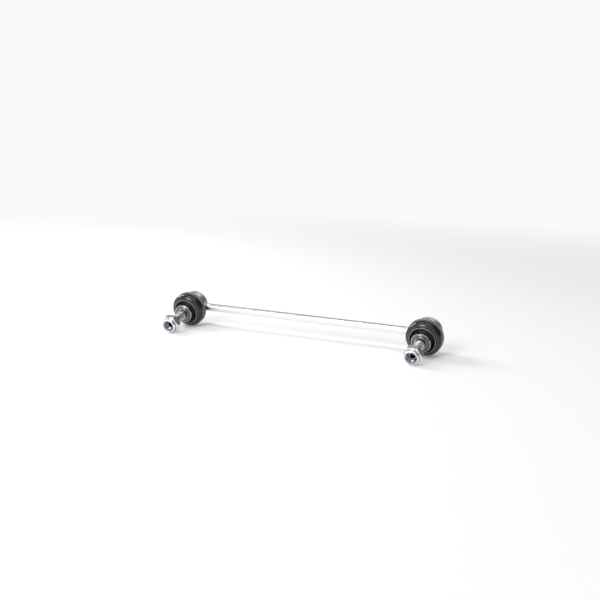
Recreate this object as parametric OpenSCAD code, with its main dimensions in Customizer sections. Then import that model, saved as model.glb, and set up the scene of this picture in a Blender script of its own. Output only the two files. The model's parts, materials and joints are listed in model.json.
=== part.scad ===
// Stabilizer link: a bar with a sealed ball joint, a threaded stud and a lock nut at each end.
// Millimetres. The link lies as it rests on a table: the bar runs along X, the studs point to -Y and
// droop until the boots and the nuts touch the plane z = 0. Profiles are pairs of radius and distance
// from the ball's centre along the stud.

/* [Bar] */
// Distance between the two ball centres
link_length = 260; // [180:1:400]
// Diameter of the bar
rod_d = 8; // [6:0.5:11]
// Height of the weld flash round the bar's ends
weld_h = 0.8; // [0.4:0.1:1.5]
// Length of the weld flash along the bar
weld_l = 2; // [1.6:0.1:4]

/* [Ball joint] */
// Diameter of the ball
ball_d = 15; // [13:0.5:17]
// Play between the ball and its seat, at the radius
ball_play = 0.05; // [0.02:0.01:0.1]
// Largest swing of the stud away from its rest line, in degrees
swing = 22; // [10:1:24]
// Wall of the seat at the ball's equator
seat_wall = 4; // [3:0.1:6]
// Floor of the seat behind the ball
seat_floor = 1.2; // [0.8:0.1:3]
// Bevel of the seat's back edge
seat_bevel = 2; // [1:0.1:3]
// Thickness of the closing ring
closing_t = 2; // [1:0.1:2.6]

/* [Housing] */
// Wall of the housing
housing_wall = 2.6; // [2:0.1:4]
// Floor of the housing
housing_floor = 1.6; // [1:0.1:4]
// Rounding of the housing's back edge
housing_edge_r = 5; // [2:0.1:5.5]
// Width of the groove that holds the boot's bead
groove_w = 2.5; // [1.5:0.1:3]
// Depth of the groove that holds the boot's bead
groove_h = 1; // [0.4:0.1:1.4]
// Width of the lip in front of the groove
lip_w = 0.8; // [0.5:0.1:2]
// Drop of the lip below the housing's outside
lip_drop = 0.3; // [0.1:0.1:0.6]
// Reach of the crimped edge over the closing ring
crimp_w = 1.2; // [0.6:0.1:1.6]
// Thickness of the crimped edge
crimp_t = 0.9; // [0.6:0.1:1.4]

/* [Stud] */
// Diameter of the neck next to the ball
neck_d = 8.4; // [6:0.1:9]
// Diameter of the land under the boot's neck
land_d = 10.4; // [9.6:0.1:12]
// Diameter of the flange
flange_d = 19.6; // [17:0.1:24]
// Thickness of the flange
flange_t = 2.5; // [2:0.1:5]
// Bevel of the flange's front edge
flange_bevel = 0.9; // [0.3:0.1:1.2]
// Diameter of the step on the flange's front
step_d = 13.2; // [12:0.1:15]
// Height of the step on the flange's front
step_h = 0.7; // [0.3:0.1:1.2]
// Diameter of the thread over its crests
thread_d = 10; // [8:0.5:12]
// Distance from the flange's front to the end of the full thread
thread_l = 19.3; // [15:0.1:40]
// Depth of the relief between the step and the thread
relief_h = 0.8; // [0.3:0.1:1.2]
// Length of the relief
relief_l = 1.2; // [0.8:0.1:3]
// Drop of the truncated first threads below the full thread
lead_drop = 0.2; // [0.2:0.05:0.5]
// Length of the truncated first threads
lead_l = 5.4; // [4:0.1:8]
// Bevel of the stud's end
stud_bevel = 1; // [0.5:0.1:1.5]
// Size across the flats of the key socket in the stud's end
key_af = 5; // [4:0.5:6]
// Depth of the key socket
key_depth = 4.5; // [2:0.1:6]

/* [Boot] */
// Wall of the boot
boot_wall = 2; // [1.2:0.1:2.4]
// Thickness of the bead between the housing's groove and the clamp ring
bead_t = 1.95; // [1.2:0.05:3]
// Width of the rim behind the clamp ring
rim_w = 1.9; // [1.6:0.1:4]
// Height of the rim over the bottom of the clamp ring's groove
rim_h = 3; // [1.5:0.1:4]
// Height of the bulge over the bottom of the clamp ring's groove
bulge_h = 2.9; // [1.8:0.1:4]
// Radius of the bulge's round section
bulge_r = 5.8; // [5:0.1:7]
// Distance from the clamp ring's groove to the middle of the bulge
bulge_lead = 2.4; // [1:0.1:4]
// Radius of the ridge on the bulge's front
ridge_r = 0.55; // [0.4:0.05:0.8]
// Radius of the fold's bottom inside the ridge
fold_r = 0.8; // [0.6:0.1:1]
// Depth of the fold, from the ridge to the middle of its round bottom
fold_h = 1.7; // [1.2:0.1:2]
// Wall of the fold
fold_wall = 1.4; // [1:0.1:1.6]
// Wall of the boot's neck
neck_wall = 1.6; // [1.2:0.1:1.8]
// Length of the boot's neck
neck_l = 2.6; // [2:0.1:3]
// Distance from the bulge's front to the flange
flange_gap = 3.4; // [3:0.1:6]

/* [Rings] */
// Wire of the clamp ring round the boot's bead
clamp_wire_d = 1.5; // [1:0.1:2.2]
// Wire of the ring round the boot's neck
neck_wire_d = 1.2; // [0.8:0.1:1.4]

/* [Nut] */
// Size across the nut's flats
nut_af = 17; // [14:0.5:19]
// Height of the nut over its collar
nut_h = 10; // [9:0.1:14]
// Height of the hexagon
hex_h = 6.8; // [5.5:0.1:7.2]
// Diameter of the collar
collar_d = 14.4; // [13.4:0.1:16]
// Rounding of the collar's edge
collar_edge_r = 1.2; // [0.5:0.1:1.4]
// Outer diameter of the locking insert
insert_d = 12.7; // [12:0.1:13]
// Height of the locking insert
insert_h = 2.4; // [1.5:0.1:3]
// Reach of the collar's edge over the insert
curl_w = 0.45; // [0.2:0.05:0.6]
// Play between the nut and the thread's crests, at the radius
nut_play = 0.1; // [0.05:0.01:0.2]

/* [Hidden] */
$fn = 96;
left = -1;
right = 1;

// Clearance between pieces that are seated in each other
fit_gap = 0.05;
// Clearance between pieces that must not touch
free_gap = 0.3;
// Clearance of the ball from the stud's hollow end
joint_gap = 0.03;
// How far a cut runs past the solid
past = 1;
// Clearance of the boot from the weld flash
weld_gap = 0.2;
// Slope of the nut's corner chamfers, in degrees
chamfer_slope = 30;
// Inset of those chamfers at the middle of a flat
chamfer_inset = 0.35;
// Half a corner of a hexagon, in degrees
hex_half = 30;
// How far round the weld flash runs, in degrees
flash_turn = 80;
// Place of the ridge round the bulge's section, in degrees
ridge_at = 82;
// How far the ridge wraps to each side, in degrees
ridge_wrap = 80;
// Where the inside of the fold ends, in degrees
fold_in_to = -35;
// Where the inside of the bulge starts, in degrees
bulge_in_from = 62;
// Rounding of the rim as a share of its width
rim_round = 0.4;
// Bevel of small edges
edge_bevel = 0.4;

// Ball, seat and housing, from the ball outwards
ball_r = ball_d / 2;
neck_r = neck_d / 2;
land_r = land_d / 2;
rod_r = rod_d / 2;
seat_r = ball_r + ball_play;
seat_out_r = seat_r + seat_wall;
cavity_r = seat_out_r + fit_gap;
housing_r = cavity_r + housing_wall;
groove_r = housing_r - groove_h;
seat_back = -(seat_r + seat_floor);
cavity_back = seat_back - fit_gap;
housing_back = cavity_back - housing_floor;
edge_s = housing_back + housing_edge_r;
edge_ring_r = housing_r - housing_edge_r;

// Boot on the housing, from the bar forwards
boot_back = rod_r + weld_h + weld_gap;
clamp_back = boot_back + rim_w;
clamp_s = clamp_back + clamp_wire_d / 2 + fit_gap;
clamp_front = clamp_s + clamp_wire_d / 2 + fit_gap;
groove_back = clamp_s - groove_w / 2;
groove_front = clamp_s + groove_w / 2;
housing_front = groove_front + lip_w;
bead_in_r = groove_r + fit_gap;
clamp_seat_r = bead_in_r + bead_t;
rim_r = clamp_seat_r + rim_h;
bulge_s = clamp_front + bulge_lead;
bulge_ring_r = clamp_seat_r + bulge_h - bulge_r;
bulge_front = bulge_s + bulge_r;
ridge_ring_r = bulge_ring_r + bulge_r * cos(ridge_at);
ridge_s = bulge_s + bulge_r * sin(ridge_at);
fold_ring_r = ridge_ring_r - ridge_r - fold_r;
fold_s = ridge_s - fold_h;
flange_back = bulge_front + flange_gap;
boot_front = flange_back - free_gap;
boot_neck_in_r = land_r + fit_gap;
boot_neck_r = boot_neck_in_r + neck_wall;
neck_back = boot_front - neck_l;
cone_rise = neck_back - fold_s;
cone_run = fold_ring_r - boot_neck_r;
cone_slope = atan(cone_rise / cone_run) + asin(fold_r / norm([cone_rise, cone_run]));
throat_s = cone_s(fold_r + fold_wall, boot_neck_in_r);
neck_ring_s = (neck_back + boot_front) / 2;
neck_groove_r = boot_neck_r - neck_wire_d / 2;
neck_ring_r = neck_groove_r + neck_wire_d / 2 + fit_gap;

// Closing ring under the crimped edge
closing_front = housing_front - crimp_t - fit_gap;
closing_back = closing_front - closing_t;
seat_front = closing_back - fit_gap;

// Stud, from the flange outwards
flange_r = flange_d / 2;
flange_front = flange_back + flange_t;
step_front = flange_front + step_h;
thread_r = thread_d / 2;
thread_end = flange_front + thread_l;
stud_end = thread_end + lead_l;
lead_r = thread_r - lead_drop;
relief_r = thread_r - relief_h;
land_back = (housing_front + free_gap + land_r * sin(swing)) / cos(swing);

// Nut on the stud's end
nut_back = thread_end + 2 * free_gap;
hex_front = nut_back + hex_h;
nut_front = nut_back + nut_h;
nut_land_r = nut_af / 2 - chamfer_inset;
nut_bore_r = thread_r + nut_play;
collar_r = collar_d / 2;
collar_ring_r = collar_r - collar_edge_r;
collar_edge_s = nut_front - collar_edge_r;
insert_r = insert_d / 2;
pocket_r = insert_r + fit_gap;
insert_front = nut_front - (collar_r - pocket_r);
insert_back = insert_front - insert_h;
curl_r = insert_r - curl_w;

// Resting attitude: the plane touches the bulge's round section and the front edge of the nut's lower flat
nut_foot_s = hex_front - chamfer_inset * tan(chamfer_slope);
foot_rise = bulge_ring_r - nut_af / 2;
foot_run = nut_foot_s - bulge_s;
droop = atan(foot_rise / foot_run) + asin(bulge_r / norm([foot_rise, foot_run]));
ball_z = bulge_s * sin(droop) + bulge_ring_r * cos(droop) + bulge_r;

// Origin under the middle of the link
back_y = -edge_s * cos(droop) + edge_ring_r * sin(droop) + housing_edge_r;
front_y = -collar_edge_s * cos(droop) - collar_ring_r * sin(droop) - collar_edge_r;
ball_y = -(back_y + front_y) / 2;

// Radius that the neck sweeps at distance s when the stud swings all the way
function mouth_r(s) = s * tan(swing) + neck_r / cos(swing);

// Distance at which the cone that leaves the fold's round of this size comes down to the radius r
function cone_s(round_r, r) = fold_s - round_r * cos(cone_slope)
    + (fold_ring_r - round_r * sin(cone_slope) - r) * tan(cone_slope);

// Points of an arc round [ring_r, s], with the angle counted from outwards towards the stud's end
function arc(ring_r, s, radius, from, to, steps = 12) = [
    for (i = [0 : steps])
        let (a = from + (to - from) * i / steps)
        [ring_r + radius * cos(a), s + radius * sin(a)]
];

// Carries a ball joint's pieces to one end, with local Z along the stud and local Y upwards
module at_end(side) {
    translate([side * link_length / 2, ball_y, ball_z])
        rotate([90 + droop, 0, 0])
            children();
}

// Body of the housing's outside, used to cope the bar and its weld
module housing_barrel() {
    cylinder(r = housing_r, h = 2 * (housing_r + past), center = true);
}

// Round bar, coped at both ends to the housings
module link_rod() {
    color("silver") difference() {
        translate([0, ball_y, ball_z])
            rotate([0, 90, 0])
                cylinder(d = rod_d, h = link_length, center = true);
        at_end(left) housing_barrel();
        at_end(right) housing_barrel();
    }
}

// Flash of the weld between the bar and a housing
module weld_bead(side) {
    color("gainsboro") difference() {
        rotate([0, -90 * side, 0])
            rotate_extrude()
                polygon(concat(
                    [[rod_r, housing_r + weld_l], [rod_r, 0], [rod_r + weld_h, 0]],
                    arc(rod_r, housing_r + weld_l - weld_h, weld_h, 0, flash_turn)
                ));
        housing_barrel();
    }
}

// Cup with a rounded back, a groove for the boot and a crimped front edge
module housing() {
    color("lightgray") rotate_extrude() polygon(concat(
        [[0, housing_back]],
        arc(edge_ring_r, edge_s, housing_edge_r, -90, 0),
        [
            [housing_r, groove_back],
            [groove_r, groove_back],
            [groove_r, groove_front],
            [housing_r - lip_drop, groove_front],
            [housing_r - lip_drop, housing_front - edge_bevel],
            [housing_r - lip_drop - edge_bevel, housing_front],
            [cavity_r - crimp_w, housing_front],
            [cavity_r - crimp_w, housing_front - crimp_t],
            [cavity_r, housing_front - crimp_t],
            [cavity_r, cavity_back + seat_bevel],
            [cavity_r - seat_bevel, cavity_back],
            [0, cavity_back]
        ]
    ));
}

// Plastic shell that holds the ball past its equator and opens in a cone for the swing
module ball_seat() {
    color("ivory") difference() {
        rotate_extrude() polygon([
            [0, seat_back],
            [seat_out_r - seat_bevel, seat_back],
            [seat_out_r, seat_back + seat_bevel],
            [seat_out_r, seat_front],
            [mouth_r(seat_front) + fit_gap, seat_front],
            [mouth_r(0) + fit_gap, 0],
            [0, 0]
        ]);
        sphere(r = seat_r);
    }
}

// Steel ring that keeps the seat in the housing
module closing_ring() {
    color("gray") rotate_extrude() polygon([
        [seat_out_r, closing_back],
        [seat_out_r, closing_front],
        [mouth_r(closing_front) + free_gap, closing_front],
        [mouth_r(closing_back) + free_gap, closing_back]
    ]);
}

module ball() {
    color("lightsteelblue") sphere(r = ball_r);
}

// Pin with a hollow inner end on the ball, a flange, a thread and a key socket
module stud() {
    color("silver") difference() {
        rotate_extrude() polygon([
            [0, neck_r],
            [neck_r, neck_r],
            [neck_r, land_back - (land_r - neck_r)],
            [land_r, land_back],
            [land_r, flange_back],
            [flange_r - edge_bevel, flange_back],
            [flange_r, flange_back + edge_bevel],
            [flange_r, flange_front - flange_bevel],
            [flange_r - flange_bevel, flange_front],
            [step_d / 2, flange_front],
            [step_d / 2, step_front - edge_bevel / 2],
            [step_d / 2 - edge_bevel / 2, step_front],
            [relief_r, step_front],
            [relief_r, step_front + relief_l],
            [thread_r, step_front + relief_l + relief_h],
            [thread_r, thread_end],
            [lead_r, thread_end + lead_drop],
            [lead_r, stud_end - stud_bevel],
            [lead_r - stud_bevel, stud_end],
            [0, stud_end]
        ]);
        sphere(r = ball_r + joint_gap);
        translate([0, 0, stud_end - key_depth])
            cylinder(d = key_af / cos(hex_half), h = key_depth + past, $fn = 6);
    }
}

// Hollow rubber boot: rim, clamp groove, bulge, front ridge, fold, cone and neck
module boot() {
    bulge_in_r = bulge_r - boot_wall;
    rim_edge_r = rim_w * rim_round;
    ridge_turn = 2 * asin(ridge_r / (2 * bulge_r));
    inner_back = housing_front + 2 * fit_gap;
    cone_at = -90 - cone_slope;
    ring_back = neck_ring_s - neck_wire_d / 2 - fit_gap;
    ring_front = neck_ring_s + neck_wire_d / 2 + fit_gap;
    color("dimgray") rotate_extrude() polygon(concat(
        // bead in the housing's groove and rim
        [
            [housing_r - lip_drop + fit_gap, inner_back],
            [housing_r - lip_drop + fit_gap, groove_front],
            [bead_in_r, groove_front - fit_gap],
            [bead_in_r, groove_back + fit_gap],
            [housing_r + fit_gap, groove_back],
            [housing_r + fit_gap, boot_back]
        ],
        arc(rim_r - rim_edge_r, boot_back + rim_edge_r, rim_edge_r, -90, 0, 6),
        arc(rim_r - rim_edge_r, clamp_back - rim_edge_r, rim_edge_r, 0, 90, 6),
        // clamp ring's groove
        [[clamp_seat_r, clamp_back], [clamp_seat_r, clamp_front]],
        // bulge, ridge and fold
        arc(bulge_ring_r, bulge_s, bulge_r, -asin(bulge_lead / bulge_r), ridge_at - ridge_turn, 24),
        arc(ridge_ring_r, ridge_s, ridge_r, ridge_at - ridge_wrap, ridge_at + ridge_wrap, 10),
        arc(fold_ring_r, fold_s, fold_r, 0, cone_at, 10),
        // neck with the groove of its ring
        [
            [boot_neck_r, neck_back],
            [boot_neck_r, ring_back],
            [boot_neck_r - neck_wire_d / 2, ring_back],
            [boot_neck_r - neck_wire_d / 2, ring_front],
            [boot_neck_r, ring_front],
            [boot_neck_r, boot_front - edge_bevel],
            [boot_neck_r - edge_bevel, boot_front],
            [boot_neck_in_r, boot_front],
            [boot_neck_in_r, throat_s]
        ],
        // inside, from the cone back to the housing
        arc(fold_ring_r, fold_s, fold_r + fold_wall, cone_at, fold_in_to, 10),
        arc(bulge_ring_r, bulge_s, bulge_in_r, bulge_in_from, -asin((bulge_s - inner_back) / bulge_in_r), 18)
    ));
}

// Spring wire ring round the boot's bead
module clamp_ring() {
    color("darkslategray") rotate_extrude()
        translate([clamp_seat_r + clamp_wire_d / 2 + fit_gap, clamp_s])
            circle(d = clamp_wire_d);
}

// Spring wire ring round the boot's neck
module neck_ring() {
    color("darkslategray") rotate_extrude()
        translate([neck_ring_r, neck_ring_s])
            circle(d = neck_wire_d);
}

// Hexagon with chamfered corners, a rounded collar and a pocket for the insert
module nut() {
    corner_r = nut_af / 2 / cos(hex_half) + past;
    chamfer_h = (corner_r - nut_land_r) * tan(chamfer_slope);
    color("gainsboro") difference() {
        union() {
            intersection() {
                translate([0, 0, nut_back])
                    cylinder(d = nut_af / cos(hex_half), h = hex_h, $fn = 6);
                rotate_extrude() polygon([
                    [0, nut_back],
                    [nut_land_r, nut_back],
                    [corner_r, nut_back + chamfer_h],
                    [corner_r, hex_front - chamfer_h],
                    [nut_land_r, hex_front],
                    [0, hex_front]
                ]);
            }
            rotate_extrude() polygon(concat(
                [[0, nut_front], [0, hex_front - past], [collar_r, hex_front - past]],
                arc(collar_ring_r, collar_edge_s, collar_edge_r, 0, 90)
            ));
        }
        rotate_extrude() polygon([
            [0, nut_back - past],
            [nut_bore_r + edge_bevel + past, nut_back - past],
            [nut_bore_r, nut_back + edge_bevel],
            [nut_bore_r, insert_back - fit_gap],
            [pocket_r, insert_back - fit_gap],
            [pocket_r, insert_front + fit_gap],
            [curl_r, insert_front + fit_gap],
            [curl_r, nut_front + past],
            [0, nut_front + past]
        ]);
    }
}

// Nylon ring that grips the thread
module nut_insert() {
    color("slateblue") rotate_extrude() polygon([
        [nut_bore_r, insert_back],
        [insert_r, insert_back],
        [insert_r, insert_front],
        [nut_bore_r + edge_bevel, insert_front],
        [nut_bore_r, insert_front - edge_bevel]
    ]);
}

link_rod();
at_end(left) housing();  // left_housing
at_end(left) weld_bead(left);  // left_weld_bead
at_end(left) ball_seat();  // left_ball_seat
at_end(left) closing_ring();  // left_closing_ring
at_end(left) ball();  // left_ball
at_end(left) stud();  // left_stud
at_end(left) boot();  // left_boot
at_end(left) clamp_ring();  // left_clamp_ring
at_end(left) neck_ring();  // left_neck_ring
at_end(left) nut();  // left_nut
at_end(left) nut_insert();  // left_nut_insert
at_end(right) housing();  // right_housing
at_end(right) weld_bead(right);  // right_weld_bead
at_end(right) ball_seat();  // right_ball_seat
at_end(right) closing_ring();  // right_closing_ring
at_end(right) ball();  // right_ball
at_end(right) stud();  // right_stud
at_end(right) boot();  // right_boot
at_end(right) clamp_ring();  // right_clamp_ring
at_end(right) neck_ring();  // right_neck_ring
at_end(right) nut();  // right_nut
at_end(right) nut_insert();  // right_nut_insert
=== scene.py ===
import bpy
import bmesh
import json
import math
import numpy as np
from mathutils import Euler, Matrix


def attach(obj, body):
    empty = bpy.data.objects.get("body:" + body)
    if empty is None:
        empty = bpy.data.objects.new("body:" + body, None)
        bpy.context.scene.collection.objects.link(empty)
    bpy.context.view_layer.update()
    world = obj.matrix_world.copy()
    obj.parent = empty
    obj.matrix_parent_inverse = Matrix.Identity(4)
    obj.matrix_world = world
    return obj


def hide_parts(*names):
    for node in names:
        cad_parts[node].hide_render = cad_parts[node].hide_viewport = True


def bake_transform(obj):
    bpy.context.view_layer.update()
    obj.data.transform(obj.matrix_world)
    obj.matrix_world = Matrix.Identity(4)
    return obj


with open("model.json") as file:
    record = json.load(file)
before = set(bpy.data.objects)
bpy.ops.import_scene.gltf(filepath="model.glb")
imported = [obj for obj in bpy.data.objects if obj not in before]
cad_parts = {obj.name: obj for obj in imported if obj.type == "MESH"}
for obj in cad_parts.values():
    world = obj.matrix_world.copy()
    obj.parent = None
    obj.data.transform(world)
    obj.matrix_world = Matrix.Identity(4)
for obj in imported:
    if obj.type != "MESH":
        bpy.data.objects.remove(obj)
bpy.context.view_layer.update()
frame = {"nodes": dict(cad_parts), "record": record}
mm = 0.001
sides = ("left", "right")
barLine = np.array([1.0, 0, 0])
meshLook = {"merge": 1e-7, "sliver": 1e-8, "sharp": 38.0}
joints = {joint["name"]: joint for joint in frame["record"]["behaviour"]["joints"]}


# ball centre in metres and the three directions of one end: along the bar, upwards, along the stud
def endFrame(side):
    turn = joints[side + "_stud_turn"]
    ball, stud = np.array(turn["pos_m"]), np.array(turn["axis"])
    up = np.array(joints[side + "_tilt_side"]["axis"])
    return ball, np.cross(up, stud), up, stud


# the angles of one full turn in equal steps, as one row
def fullTurn(count):
    return np.linspace(0, 2 * np.pi, count, endpoint=False)[None, :]


# point = ball centre + radius * (cos a * across + sin a * up) + along * stud, for whole arrays in mm
def roundStud(end, radius, angle, along):
    ball, across, up, stud = end
    x, y = radius * np.cos(angle), radius * np.sin(angle)
    return ball + mm * (x[..., None] * across + y[..., None] * up + along[..., None] * stud)


# point = centre + reach * bar's line + radius * (cos a * stud + sin a * up), for whole arrays in mm
def roundBar(centre, end, radius, angle, reach):
    up, stud = end[2:]
    x, y = radius * np.cos(angle), radius * np.sin(angle)
    return centre + mm * (reach[..., None] * barLine + x[..., None] * stud + y[..., None] * up)


# a corner (radius, along, fillet) becomes a curve of three points: itself and both ends of its fillet,
# which lie no further away than a share of the shorter side; points nearer than same are one
def softCorners(corners, steps=6, most=0.48, same=1e-5):
    corners = np.array(corners, float)
    points, fillet = corners[:, :2], corners[:, 2]
    fillet[[0, -1]] = 0
    inward = points - np.roll(points, 1, 0)
    outward = np.roll(points, -1, 0) - points
    inLength, outLength = np.linalg.norm(inward, axis=1), np.linalg.norm(outward, axis=1)
    inward = inward / np.maximum(inLength, same)[:, None]
    outward = outward / np.maximum(outLength, same)[:, None]
    half = np.arccos(np.clip((inward * outward).sum(1), -1, 1)) / 2
    trim = np.minimum(fillet * np.tan(half), most * np.minimum(inLength, outLength))[:, None]
    k = np.linspace(0, 1, steps)[None, :, None]
    first, last = (points - inward * trim)[:, None], (points + outward * trim)[:, None]
    path = ((1 - k) ** 2 * first + 2 * k * (1 - k) * points[:, None] + k * k * last).reshape(-1, 2)
    return path[np.r_[True, np.linalg.norm(np.diff(path, axis=0), axis=1) > same]]


# arc = centre + radius * (cos, sin) of the angle, counted from outwards towards the stud's end
def arc(ringRadius, along, radius, start, stop, steps):
    angle = np.radians(np.linspace(start, stop, steps))
    return np.stack([ringRadius + radius * np.cos(angle), along + radius * np.sin(angle)], axis=1)


# running length = sum of the steps so far
def pathLengths(path):
    return np.r_[0, np.cumsum(np.linalg.norm(np.diff(path, axis=0), axis=1))]


# points are put between those of a path until no gap is longer than step
def finePath(path, step):
    reach = pathLengths(path)
    marks = np.unique(np.r_[reach, np.arange(0, reach[-1], step)].round(5))
    return np.stack([np.interp(marks, reach, path[:, k]) for k in (0, 1)], axis=1)


# edge = outward turn per mm * sharp - broad, from 0 to 1, less hollowShade * the inward turns nearby, which
# fade with the square of their distance over spread; the positive part is pale wear and painted sheen on
# outward edges, the negative part painted shade in the hollows
def edgeOfPath(path, sharp=0.38, broad=0.12, spread=0.5, hollowShade=0.6, least=0.02):
    step = np.diff(path, axis=0)
    length = np.linalg.norm(step, axis=1)
    turn = np.r_[0, np.diff(np.unwrap(np.arctan2(step[:, 1], step[:, 0]))), 0]
    reach = pathLengths(path)
    near = np.exp(-((reach[:, None] - reach[None, :]) / spread) ** 2)
    gap = np.r_[length[0], (length[1:] + length[:-1]) / 2, length[-1]]
    edge = np.clip(turn / np.maximum(gap, least) * sharp - broad, 0, 1)
    return np.clip(edge - hollowShade * (near @ np.clip(-turn, 0, None)), -1, 1)


# quads join neighbours on the grid of rows and columns; columns close on themselves, rows that meet merge,
# and all faces turn over if the volume comes out negative
def gridPiece(name, points, wearSheenShade, lengths):
    rows, cols = points.shape[:2]
    index = np.arange(rows * cols).reshape(rows, cols)
    after = np.roll(index, -1, axis=1)
    quads = np.stack([index[:-1], after[:-1], after[1:], index[1:]], axis=-1).reshape(-1, 4)
    u, v = np.meshgrid(np.arange(cols + 1) / cols, lengths)
    uv = np.stack([u, v], axis=-1)
    uv = np.stack([uv[:-1, :-1], uv[:-1, 1:], uv[1:, 1:], uv[1:, :-1]], axis=2).reshape(-1, 4, 2)
    flat = points.reshape(-1, 3)
    a, b, c, d = (flat[quads[:, k]] - flat.mean(0) for k in range(4))
    volume = (a * np.cross(b, c)).sum() + (a * np.cross(c, d)).sum()
    if volume < 0:
        quads, uv = quads[:, ::-1], uv[:, ::-1]
    mesh = bpy.data.meshes.new(name)
    mesh.from_pydata(flat.tolist(), [], quads.tolist())
    mesh.uv_layers.new(name="skin").data.foreach_set("uv", uv.ravel())
    mesh.attributes.new("wearSheenShade", "FLOAT", "POINT").data.foreach_set("value", np.float32(wearSheenShade).ravel())
    work = bmesh.new()
    work.from_mesh(mesh)
    bmesh.ops.remove_doubles(work, verts=work.verts, dist=meshLook["merge"])
    bmesh.ops.dissolve_degenerate(work, dist=meshLook["sliver"], edges=work.edges)
    work.to_mesh(mesh)
    work.free()
    mesh.shade_smooth()
    mesh.set_sharp_from_angle(angle=math.radians(meshLook["sharp"]))
    piece = bpy.data.objects.new(name, mesh)
    bpy.context.scene.collection.objects.link(piece)
    return piece


# a path of radius and distance carried once round the stud's line; wearSheenTone, when given, replaces the
# path's own edge values of pale wear, painted sheen and painted shade
def spunPiece(name, end, path, turns=128, wearSheenTone=None):
    radius, along = (np.broadcast_to(path[:, k, None], (len(path), turns)) for k in (0, 1))
    wearSheenShade = np.broadcast_to((edgeOfPath(path) if wearSheenTone is None else wearSheenTone)[:, None], radius.shape)
    return gridPiece(name, roundStud(end, radius, fullTurn(turns), along), wearSheenShade, pathLengths(path))


# the piece takes its finish and its body, and the solids it stands for are hidden; its record slot is not
# used
def dress(piece, finish, slot, body, *nodes):
    piece.data.materials.append(finish)
    if body:
        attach(piece, body)
    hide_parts(*nodes)
    return piece


# a node is made, its settings are set, and each input takes a link or a plain value
def addNode(tree, kind, wires=None, **settings):
    made = tree.nodes.new("ShaderNode" + kind)
    for key, value in settings.items():
        setattr(made, key, value)
    for key, value in (wires or {}).items():
        if isinstance(value, bpy.types.NodeSocket):
            tree.links.new(value, made.inputs[key])
        else:
            made.inputs[key].default_value = value
    return made


# an empty group with its inputs and outputs: v is a vector, f a float, c a colour
def newGroup(name, takes, gives):
    group = bpy.data.node_groups.new(name, "ShaderNodeTree")
    kinds = {"v": "NodeSocketVector", "f": "NodeSocketFloat", "c": "NodeSocketColor"}
    for label, kind in takes:
        group.interface.new_socket(name=label, in_out="INPUT", socket_type=kinds[kind])
    for label, kind in gives:
        group.interface.new_socket(name=label, in_out="OUTPUT", socket_type=kinds[kind])
    return group, group.nodes.new("NodeGroupInput").outputs, group.nodes.new("NodeGroupOutput").inputs


# plated metal: a fine crystal grain over broad cloudy patches drives colour, roughness and height
def makePlatedSkin():
    group, take, give = newGroup(
        "platedSkin",
        [("Vector", "v"), ("Grain", "f"), ("Bright", "c"), ("Dull", "c"), ("Smooth", "f"), ("Rough", "f")],
        [("Color", "c"), ("Roughness", "f"), ("Height", "f")])
    place, grain = take["Vector"], take["Grain"]
    broad = addNode(group, "TexNoise", {"Vector": place, "Scale": 260.0, "Detail": 4.0, "Roughness": 0.6})
    fine = addNode(group, "TexNoise", {"Vector": place, "Scale": grain, "Detail": 3.0, "Roughness": 0.7})
    cell = addNode(group, "TexVoronoi", {"Vector": place, "Scale": grain})
    both = addNode(group, "Math", {0: broad.outputs["Fac"], 1: fine.outputs["Fac"]}, operation="ADD")
    share = addNode(group, "MapRange", {"Value": both.outputs[0], "From Min": 0.7, "From Max": 1.3})
    tint = addNode(group, "Mix", {0: share.outputs[0], 6: take["Bright"], 7: take["Dull"]}, data_type="RGBA")
    rough = addNode(group, "MapRange", {
        "Value": share.outputs[0], "To Min": take["Smooth"], "To Max": take["Rough"]})
    height = addNode(group, "Math", {0: fine.outputs["Fac"], 1: cell.outputs["Distance"]}, operation="ADD")
    group.links.new(tint.outputs[2], give["Color"])
    group.links.new(rough.outputs[0], give["Roughness"])
    group.links.new(height.outputs[0], give["Height"])
    return group


# marks of a turning tool: noise along the profile's length only, so each mark is a closed ring
def makeTurnedLines():
    group, take, give = newGroup("turnedLines", [("Vector", "v"), ("Lines", "f")], [("Height", "f")])
    split = addNode(group, "SeparateXYZ", {"Vector": take["Vector"]})
    place = addNode(group, "Math", {0: split.outputs["Y"], 1: take["Lines"]}, operation="MULTIPLY")
    wave = addNode(group, "TexNoise", {"W": place.outputs[0], "Scale": 1.0, "Detail": 2.0},
                   noise_dimensions="1D")
    group.links.new(wave.outputs["Fac"], give["Height"])
    return group


# pale edges, partly wear and partly painted sheen: the piece's own edge attribute times noise that never
# falls below Even;
# painted shade in the hollows: the attribute's negative part, a little uneven
def makeEdgeWearSheenShade():
    group, take, give = newGroup(
        "edgeWearSheenShade", [("Vector", "v"), ("Edge", "f"), ("Amount", "f"), ("Even", "f")],
        [("Mask", "f"), ("HollowShade", "f")])
    patch = addNode(group, "TexNoise", {"Vector": take["Vector"], "Scale": 900.0, "Detail": 4.0})
    broken = addNode(group, "MapRange", {
        "Value": patch.outputs["Fac"], "From Min": 0.3, "From Max": 0.65, "To Min": take["Even"]})
    mask = addNode(group, "Math", {0: take["Edge"], 1: broken.outputs[0]}, operation="MULTIPLY")
    level = addNode(group, "Math", {0: mask.outputs[0], 1: take["Amount"]}, operation="MULTIPLY",
                    use_clamp=True)
    uneven = addNode(group, "MapRange", {"Value": patch.outputs["Fac"], "To Min": -0.7, "To Max": -1.1})
    hollowShade = addNode(group, "Math", {0: take["Edge"], 1: uneven.outputs[0]}, operation="MULTIPLY",
                   use_clamp=True)
    group.links.new(level.outputs[0], give["Mask"])
    group.links.new(hollowShade.outputs[0], give["HollowShade"])
    return group


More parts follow.
